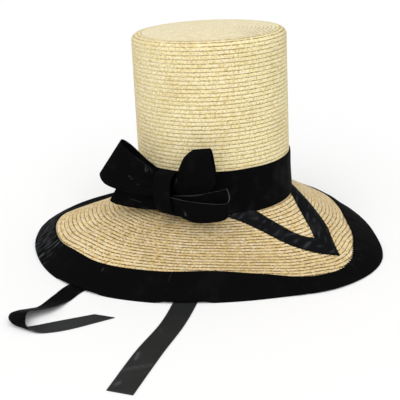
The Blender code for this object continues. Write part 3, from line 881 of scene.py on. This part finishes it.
class HAT_OT_brim(bpy.types.Operator):
    """Wide drooping brim of braided straw rows, with the head opening in its middle"""

    bl_idname = "straw_hat.brim"
    bl_label = "Brim"

    def execute(self, context):
        straw = context.scene.straw_hat_straw
        relief = straw.row_relief
        shown = math.ceil(straw.brim_rows * max(share for share, in BRIM_ROW_SHARES)) + 2
        tops = [row + place for row in range(shown) for place, share in ROW_RELIEF]
        shares = [share for row in range(shown) for place, share in ROW_RELIEF]
        unders = [row + place for row in range(shown) for place, share in INSIDE_RELIEF]
        under_shares = [share for row in range(shown) for place, share in INSIDE_RELIEF]
        rows = []
        for line in range(BRIM_TURN_STEPS):
            azimuth = 2 * math.pi * line / BRIM_TURN_STEPS
            middle = brim_curve(azimuth)
            count = brim_row_count(azimuth, straw.brim_rows)
            lifts = [(-1, 0.0)]
            lifts += [(min(row / count, ROWS_BOUND), relief * (share - 0.5))
                      for row, share in zip(tops, shares)]
            lifts += [(1.5, 0.0), (2, 0.0)]
            section = [offset_from(middle, place, STRAW / 2 + lift)[0] for place, lift in lifts]
            lows = [(2, 0.0), (1.5, 0.0)]
            lows += [(min(row / count, ROWS_BOUND), relief * 0.7 * (share - 0.5))
                     for row, share in zip(reversed(unders), reversed(under_shares))]
            lows += [(-1, 0.0)]
            section += [offset_from(middle, place, -STRAW / 2 - lift)[0] for place, lift in lows]
            rows.append([turned(azimuth, spot) for spot in section])
        far = shown + 2.0
        values = [-1.0] + tops + [far, far + 4] + [far + 4, far] + unders[::-1] + [-1.0, -1.0]
        repeats = []
        for low, high in zip(values, values[1:]):
            row = math.floor(min(low, high) + 0.01)
            reach = CROWN_HALF_LENGTH * 0.95 + (row + 0.5) * BRIM_PITCH
            repeats.append(round(2 * math.pi * reach / PLAIT_LENGTH))
        shape = grid_shape(rows, True, True, values, repeats)
        finish_piece("brim_braid", shape,
                     [straw_finish("brim_straw_plait", straw.brim_tone_and_shade, straw.brim_shade,
                                   contrast=0.92, line_depth=0.98, width=0.20, straws=2.0)],
                     "brim")
        return {"FINISHED"}


def gathers(azimuth, across):
    """Rise of the binding's gathers and the painted highlight on their crests.

    Across is 0 at the binding's inner line and 1 at the edge.
    """
    rise = 0.0
    painted_highlight = 0.0
    for middle, half, width, count, skew, height, out, shine in BINDING_GATHERS:
        off = math.degrees(turn_between(azimuth, math.radians(middle)))
        share = fade(off, half, width) * fade(across, out, 0.35)
        if share <= 0:
            continue
        drift = noise.noise(Vector((azimuth * 9, across * 1.2, count * 0.1))) * 1.4
        phase = azimuth * count / (2 * math.pi) + skew * across + drift
        fold = abs(math.sin(math.pi * phase))
        uneven = 0.6 + 0.6 * noise.noise(Vector((azimuth * 30, across * 2.5, count)))
        rise += share * height * MM * fold ** 0.8 * uneven
        patch = 0.45 + 1.5 * noise.noise(Vector((azimuth * 26, across * 3.5, count + 4)))
        # Painted highlight on the gathers' crests
        painted_highlight += share * shine * fold ** 8 * max(patch, 0.0) * fade(0.08 - across, 0.0, 0.08)
    return rise, min(painted_highlight, 1.0)


def scallop(azimuth):
    """How far the binding's inner line is drawn in between its stitches."""
    share = 0.25
    for middle, half, width in SCALLOPED:
        off = math.degrees(turn_between(azimuth, math.radians(middle)))
        share = max(share, fade(off, half, width))
    phase = azimuth * SCALLOPS / (2 * math.pi) + 0.5 * noise.noise(Vector((azimuth * 12, 0, 3)))
    return SCALLOP_DEPTH * share * (abs(math.sin(math.pi * phase)) - 0.5)


def seam_depth(azimuth, reach):
    """How far the velvet is drawn down along the seams of the binding."""
    depth = 0.0
    for seam in SEAMS:
        off = turn_between(azimuth, seam) * reach
        depth = max(depth, fade(off, 0.0, SEAM_WIDTH))
    return depth * SEAM_DEPTH


def stitches(azimuth, across, reach):
    """How much of the thread shows along the seams of the binding, as dots of painted highlight.
    """
    shown = 0.0
    for seam, strength in STITCHED:
        off = turn_between(azimuth, seam) * reach
        beat = noise.noise(Vector((seam * 9, across * 17, 2.5)))
        shown = max(shown, strength * fade(off, 0.0, STITCH_WIDTH) * fade(0.15 - beat, 0.0, 0.15))
    return shown


def binding_points(azimuth):
    """Outside of the velvet from its inner line over the edge to its line below.

    Each point comes with its painted highlight, which also draws the seams' thread.
    """
    line, edge = brim_corners(azimuth)[2:]
    middle = brim_curve(azimuth)
    width = math.dist(line, edge)
    base = STRAW / 2 + BINDING_GAP
    outer = base + VELVET
    draw = scallop(azimuth) / width
    dip = seam_depth(azimuth, edge[0])
    shape = []
    painted_highlight = []
    for share, lift in BINDING_PROFILE:
        place = 1 + share - draw * (1 - share) ** 3
        rise, shine = gathers(azimuth, share)
        puff = rise * (0.25 + 0.75 * fade(1 - share, 0.6, 0.4))
        soft = 0.35 * MM * noise.noise(Vector((azimuth * 14, share * 3, 1.7)))
        height = base + (VELVET + puff + soft - dip) * lift
        shape.append(offset_from(middle, place, height)[0])
        painted_highlight.append(max(shine, stitches(azimuth, share, edge[0]) if share < 0.9 else 0.0))
    spot, along = offset_from(middle, 2, 0.0)
    normal = (-along[1], along[0])
    rise, shine = gathers(azimuth, 1.0)
    puff = rise * 0.5 - dip
    for most, (centre, half, width) in ((FRONT_PUFF, FRONT_TURN), (END_PUFF, END_TURN)):
        puff += most * fade(turn_between(azimuth, centre), half, width)
    for turn in (65, 35, 5, -25, -55):
        angle = math.radians(turn)
        reach = (outer + puff * fade(-turn, 0, 30)) * math.cos(angle)
        rise = outer * math.sin(angle)
        shape.append((spot[0] + along[0] * reach + normal[0] * rise,
                      spot[1] + along[1] * reach + normal[1] * rise))
        painted_highlight.append(shine * fade(-turn, 0, 50))
    for place in (2.0, 1.85, 1.7, 1.6, BINDING_UNDER):
        shape.append(offset_from(middle, place, -outer)[0])
        painted_highlight.append(0.0)
    floor = max(edge[1] - outer + EDGE_SETTLE, 0.0)
    return [(reach, max(height, floor)) for reach, height in shape], painted_highlight


class HAT_OT_binding(bpy.types.Operator):
    """Velvet bound over the brim's edge, gathered at the ends and sewn with small scallops"""

    bl_idname = "straw_hat.binding"
    bl_label = "Brim Binding"

    def execute(self, context):
        velvet = context.scene.straw_hat_velvet
        rows = []
        painted_highlight = []
        for line in range(BINDING_LINES):
            azimuth = 2 * math.pi * line / BINDING_LINES
            section, shine = binding_points(azimuth)
            rows.append([turned(azimuth, spot) for spot in section])
            painted_highlight.append(shine)
        shape = grid_shape(rows, False, True, painted_highlight=painted_highlight)
        piece = finish_piece("binding_velvet_fold", shape,
                             [velvet_finish("binding_velvet_pile", velvet, crush_and_sheen=0.2, catch=0.3)],
                             "brim_binding")
        add_wall(piece, VELVET * 0.8, -1.0)
        return {"FINISHED"}


class HAT_OT_band(bpy.types.Operator):
    """Wide velvet band stretched round the foot of the crown"""

    bl_idname = "straw_hat.band"
    bl_label = "Hat Band"

    def execute(self, context):
        velvet = context.scene.straw_hat_velvet
        lower = CROWN_HALF_LENGTH + GAP
        upper = CROWN_HALF_AT_BAND_TOP + GAP
        rows = []
        for line in range(BAND_LINES):
            turn = 2 * math.pi * line / BAND_LINES
            across = Vector((math.cos(turn), math.sin(turn) * OVAL_RATIO, 0))
            out = Vector((math.cos(turn) * OVAL_RATIO, math.sin(turn), 0)).normalized()
            points = []
            for share, lift in BAND_PROFILE:
                wave = noise.noise(Vector((math.cos(turn) * 2.2, math.sin(turn) * 2.2, share * 3)))
                rise = 0.2 * MM + (VELVET + 0.5 * MM * max(wave, -0.5)) * lift
                sag = 0.6 * MM * noise.noise(Vector((math.cos(turn) * 3, math.sin(turn) * 3, 9)))
                reach = lower + (upper - lower) * share
                height = BAND_HEIGHT * share + sag * share
                points.append(CROWN_PLACE @ (across * reach + out * rise
                                             + Vector((0, 0, max(height, 0.0)))))
            rows.append(points)
        shape = grid_shape(rows, True, True)
        piece = finish_piece("band_velvet_wrap", shape,
                             [velvet_finish("band_velvet_pile", velvet, crush_and_sheen=0.7)],
                             "hat_band")
        return {"FINISHED"}


def bow_place():
    """Matrix that puts the bow's frame on the band."""
    band_length = CROWN_HALF_LENGTH + GAP + VELVET + 0.2 * MM
    band_width = CROWN_HALF_LENGTH * OVAL_RATIO + GAP + VELVET + 0.2 * MM
    at = (math.sin(BOW_TURN) * band_length, -math.cos(BOW_TURN) * band_width, 0)
    facing = math.atan2(math.sin(BOW_TURN) / band_length, math.cos(BOW_TURN) / band_width)
    return CROWN_PLACE @ Matrix.Translation(at) @ Matrix.Rotation(facing, 4, "Z")


def loop_rows(sections, crease, seed):
    """Rows of points over a loop of ribbon, creased where it is drawn in at its ends."""
    place = bow_place()
    rows = []
    for step in range(LOOP_STEPS + 1):
        share = step / LOOP_STEPS
        row = curve_row(sections, (len(sections) - 1) * share)
        pinch = max(fade(share, 0.0, 0.32), fade(1 - share, 0.0, 0.32))
        points = []
        for k in range(LOOP_ACROSS + 1):
            side = k / LOOP_ACROSS
            right, up, out = blend(row[:3], row[3:], side)
            fold = math.sin(side * math.pi * 5 + seed + 2 * noise.noise(
                Vector((share * 4, side * 2, seed))))
            lift = crease * (pinch * fold * math.sin(math.pi * side) * 0.7
                             + 0.6 * noise.noise(Vector((share * 5, side * 3, seed * 2.3))))
            points.append(place @ (Vector((right, -(out + lift), up)) * MM))
        rows.append(points)
    return rows


def crease_shine(highlight_lines, share, side, width, length):
    """Painted highlight at a place on a ribbon, along the lines given for it."""
    shine = 0.0
    for start, end, reach, strength in highlight_lines:
        a = Vector((start[0] * length, start[1] * width))
        b = Vector((end[0] * length, end[1] * width))
        spot = Vector((share * length, side * width))
        t = min(max((spot - a).dot(b - a) / max((b - a).length_squared, 1e-9), 0.0), 1.0)
        off = (spot - a - (b - a) * t).length
        shine = max(shine, strength * fade(off, 0.0, reach * MM))
    return shine


def ribbon_shine(rows, highlight_lines):
    """Painted highlight at every point of a ribbon."""
    width, length = ribbon_size(rows)
    steps = len(rows) - 1
    across = len(rows[0]) - 1
    return [[crease_shine(highlight_lines, step / steps, k / across, width, length)
             for k in range(across + 1)] for step in range(steps + 1)]


def ribbon_size(rows):
    """Mean width and length of a ribbon from its rows of points."""
    widths = [sum((b - a).length for a, b in zip(row, row[1:])) for row in rows]
    middle = [row[len(row) // 2] for row in rows]
    length = sum((b - a).length for a, b in zip(middle, middle[1:]))
    return round(sum(widths) / len(widths), 3), round(length, 3)


def ribbon_piece(node, ending, rows, finishes, flip):
    """Ribbon over its rows of points with its pile outside, and its mean width and length."""
    width, length = ribbon_size(rows)
    count = round(length / RIB_PITCH)
    shape = grid_shape(rows, False, False, None, [count] * (len(rows[0]) - 1),
                       ribbon_shine(rows, HIGHLIGHT_LINES.get(node, ())))
    if flip:
        bmesh.ops.reverse_faces(shape, faces=shape.faces)
    return finish_piece(node + ending, shape, finishes, node), width, length


class HAT_OT_bow(bpy.types.Operator):
    """Bow of velvet ribbon: four loops and the knot over their middle"""

    bl_idname = "straw_hat.bow"
    bl_label = "Bow"

    def execute(self, context):
        velvet = context.scene.straw_hat_velvet
        pile = velvet_finish("bow_velvet_pile", velvet, crush_and_sheen=0.35, catch=0.4)
        wrap = velvet_finish("bow_knot_velvet_pile", velvet, crush_and_sheen=0.3, catch=0.1)
        edge = selvage_finish("bow_ribbon_edge", velvet)
        loops = (("bow_left_loop", LEFT_LOOP, 1.2, 1.0, True),
                 ("bow_left_tail_loop", LEFT_TAIL_LOOP, 1.0, 2.0, True),
                 ("bow_right_loop", RIGHT_LOOP, 0.8, 3.0, True),
                 ("bow_side_loop", SIDE_LOOP, 1.0, 4.0, False),
                 ("bow_knot", KNOT, 0.7, 5.0, True))
        for node, sections, crease, seed, flip in loops:
            rows = loop_rows(sections, crease, seed)
            face = wrap if node == "bow_knot" else pile
            piece, width, length = ribbon_piece(node, "_ribbon", rows, [face, edge],
                                                flip)
            # The ribbon's back gets the black pile too, as painted shade inside the loops
            add_wall(piece, VELVET * 0.9, 0.0, 0, 1 if node == "bow_side_loop" else 0)
        return {"FINISHED"}


def arm_rows(sections, surface, seed, fold_turn):
    """Rows round a ruched strip that lies on the brim."""
    mitre = Vector(sections[-1][2:]) - Vector(sections[-1][:2])
    before = Vector(sections[-2][:2]) - Vector(sections[-1][:2])
    square = Vector((-mitre.y, mitre.x)).normalized()
    if square.dot(before) < 0:
        square = -square
    rows = []
    painted_highlight = []
    travelled = 0.0
    last = None
    for step in range(ARM_STEPS + 1):
        row = curve_row(sections, (len(sections) - 1) * step / ARM_STEPS)
        centre = Vector(blend(row[:2], row[2:], 0.5))
        travelled += (centre - last).length * MM if last else 0.0
        last = centre
        ends = fade(step, 0, 4) + fade(ARM_STEPS - step, 0, 3)
        points = []
        shine = []
        sides = [(k / 6, ARM_GAP) for k in range(7)]
        sides += [(1 - k / ARM_TOPS, None) for k in range(ARM_TOPS + 1)]
        for side, height in sides:
            x, y = blend(row[:2], row[2:], side)
            width = math.dist(row[:2], row[2:]) * MM
            across = side * width
            crumple = noise.noise(Vector((x * 0.05, y * 0.06, seed)))
            lie = x * MM * math.sin(fold_turn) - y * MM * math.cos(fold_turn)
            fold = abs(math.sin(math.pi * (lie / ARM_FOLD + 0.5 * crumple))) ** 0.8
            edge = abs(2 * side - 1) ** 6
            draw = 0.8 * MM * (abs(math.sin(math.pi * travelled / EDGE_FOLD)) - 0.5)
            side += (draw if side > 0.5 else -draw) / width * edge * (1 - min(ends, 1))
            x, y = blend(row[:2], row[2:], side)
            if step == ARM_STEPS:
                x += square.x * MITRE_GAP / MM
                y += square.y * MITRE_GAP / MM
            shine.append(0.0)
            if height is None:
                # Painted highlight on the folds' crests, with a faint one over the whole top
                patch = 0.2 + 2.0 * noise.noise(Vector((travelled * 70, across * 130, seed + 3)))
                shine[-1] = 0.05 + 0.42 * min(max(patch, 0.0), 1.0) * fold ** 12 * (1 - edge)
                dome = (1 - abs(2 * side - 1) ** 2.6) if 0 < side < 1 else 0.0
                dents = 0.55 + 0.45 * fold + 0.5 * noise.noise(
                    Vector((travelled * 90, across * 160, seed + 7)))
                height = ARM_EDGE + (ARM_PUFF - ARM_EDGE) * max(dome, 0.0) * dents * (
                    1 - 0.5 * min(ends, 1))
            found = surface.ray_cast(
                HAT_PLACE @ Vector((x * MM, y * MM, 0.2)), Vector((0, 0, -1)))[0]
            points.append(found + Vector((0, 0, height)))
        rows.append(points)
        painted_highlight.append(shine)
    return rows, painted_highlight


class HAT_OT_v_trim(bpy.types.Operator):
    """Two strips of ruched velvet that meet in a V on the brim"""

    bl_idname = "straw_hat.v_trim"
    bl_label = "V Trim"

    def execute(self, context):
        velvet = context.scene.straw_hat_velvet
        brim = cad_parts["brim"].data
        surface = BVHTree.FromPolygons([vertex.co for vertex in brim.vertices],
                                       [face.vertices for face in brim.polygons])
        finish = velvet_finish("v_trim_velvet_pile", velvet, crush_and_sheen=1.25)
        for node, sections, seed, fold_turn in (
                ("trim_near_arm", NEAR_ARM, 1.0, math.radians(38)),
                ("trim_far_arm", FAR_ARM, 6.0, math.radians(82))):
            rows, painted_highlight = arm_rows(sections, surface, seed, fold_turn)
            shape = grid_shape(rows, True, False, painted_highlight=painted_highlight)
            bmesh.ops.holes_fill(shape, edges=[e for e in shape.edges if e.is_boundary], sides=0)
            bmesh.ops.recalc_face_normals(shape, faces=shape.faces)
            piece = finish_piece(node + "_ruche", shape, [finish], node)
        return {"FINISHED"}


class HAT_OT_ties(bpy.types.Operator):
    """Two narrow ribbons sewn inside the crown's foot, lying out on the surface"""

    bl_idname = "straw_hat.ties"
    bl_label = "Ties"

    def execute(self, context):
        velvet = context.scene.straw_hat_velvet
        pile = velvet_finish("tie_velvet_pile", velvet)
        satin = satin_finish("tie_ribbon_back", velvet)
        edge = selvage_finish("tie_ribbon_edge", velvet)
        for node, sections, steps, flip in (("tie_left", TIE_LEFT, 220, True),
                                            ("tie_right", TIE_RIGHT, 200, False)):
            rows = []
            for step in range(steps + 1):
                row = curve_row(sections, (len(sections) - 1) * step / steps)
                points = []
                for k in range(TIE_ACROSS + 1):
                    side = blend(row[:3], row[3:], k / TIE_ACROSS)
                    spot = HAT_PLACE @ (Vector(side) * MM)
                    spot.z = max(spot.z, TIE_LOWEST)
                    points.append(spot)
                rows.append(points)
            piece, width, length = ribbon_piece(node, "_length", rows, [pile, satin, edge],
                                                flip)
            add_wall(piece, TIE_THICK, 0.0, 1, 1 if node == "tie_right" else 2)
        return {"FINISHED"}


def soft_light(name, direction, spread, strength):
    """Broad light whose strength is the same all over the floor."""
    light = bpy.data.lights.new(name, "SUN")
    light.energy = strength
    light.angle = spread
    lamp = bpy.data.objects.new(name, light)
    lamp.rotation_euler = Vector(direction).to_track_quat("-Z", "Y").to_euler()
    bpy.context.scene.collection.objects.link(lamp)


class HAT_OT_stage(bpy.types.Operator):
    """Pale floor, soft studio light and the camera"""

    bl_idname = "straw_hat.stage"
    bl_label = "Stage"

    def execute(self, context):
        stage = context.scene.straw_hat_stage
        shape = bmesh.new()
        bmesh.ops.create_grid(shape, x_segments=2, y_segments=2, size=FLOOR_HALF)
        mesh = bpy.data.meshes.new("floor")
        shape.to_mesh(mesh)
        shape.free()
        floor = bpy.data.objects.new("floor", mesh)
        context.scene.collection.objects.link(floor)
        finish = Nodes("pale_floor")
        finish.set(colour=stage.floor_colour, roughness=0.9, specular=0.1)
        mesh.materials.append(finish.material)

        world = bpy.data.worlds.new("studio")
        context.scene.world = world
        world.use_nodes = True
        context.scene.view_settings.view_transform = "Standard"
        sky = world.node_tree.nodes["Background"]
        sky.inputs["Color"].default_value = (1.0, 1.0, 1.0, 1.0)
        sky.inputs["Strength"].default_value = stage.sky_light
        soft_light("key_light", KEY_DIRECTION, stage.key_spread, stage.key_light)

        camera_data = bpy.data.cameras.new("camera")
        camera_data.lens = stage.lens
        camera_data.sensor_width = SENSOR_WIDTH
        camera_data.clip_start = 0.05
        camera_data.clip_end = 30
        camera = bpy.data.objects.new("camera", camera_data)
        context.scene.collection.objects.link(camera)
        camera.location = HAT_PLACE @ Vector(CAMERA_AT)
        aim = Vector((math.sin(CAMERA_PAN) * math.cos(CAMERA_PITCH),
                      math.cos(CAMERA_PAN) * math.cos(CAMERA_PITCH), -math.sin(CAMERA_PITCH)))
        camera.rotation_euler = aim.to_track_quat("-Z", "Y").to_euler()
        context.scene.camera = camera
        return {"FINISHED"}


class HAT_PT_panel(bpy.types.Panel):
    """Sizes, colours and pieces of the straw hat"""

    bl_idname = "HAT_PT_panel"
    bl_label = "Straw Top Hat"
    bl_space_type = "VIEW_3D"
    bl_region_type = "UI"
    bl_category = "Straw Hat"

    def draw(self, context):
        scene = context.scene
        for settings in (scene.straw_hat_straw, scene.straw_hat_velvet, scene.straw_hat_stage):
            box = self.layout.box()
            for name in settings.__annotations__:
                box.prop(settings, name)
        for piece in PIECES:
            self.layout.operator(piece.bl_idname)


SETTINGS = (StrawSettings, VelvetSettings, StageSettings)
PIECES = (HAT_OT_stage, HAT_OT_ties, HAT_OT_crown, HAT_OT_brim, HAT_OT_binding, HAT_OT_band,
          HAT_OT_bow, HAT_OT_v_trim)


def register():
    for kind in SETTINGS + PIECES + (HAT_PT_panel,):
        bpy.utils.register_class(kind)
    bpy.types.Scene.straw_hat_straw = PointerProperty(type=StrawSettings)
    bpy.types.Scene.straw_hat_velvet = PointerProperty(type=VelvetSettings)
    bpy.types.Scene.straw_hat_stage = PointerProperty(type=StageSettings)


def unregister():
    del bpy.types.Scene.straw_hat_stage
    del bpy.types.Scene.straw_hat_velvet
    del bpy.types.Scene.straw_hat_straw
    for kind in reversed(SETTINGS + PIECES + (HAT_PT_panel,)):
        bpy.utils.unregister_class(kind)


def main():
    """Make every piece and the stage."""
    register()
    bpy.ops.straw_hat.stage()
    bpy.ops.straw_hat.ties()
    bpy.ops.straw_hat.crown()
    bpy.ops.straw_hat.brim()
    bpy.ops.straw_hat.binding()
    bpy.ops.straw_hat.band()
    bpy.ops.straw_hat.bow()
    bpy.ops.straw_hat.v_trim()


if __name__ == "__main__":
    main()
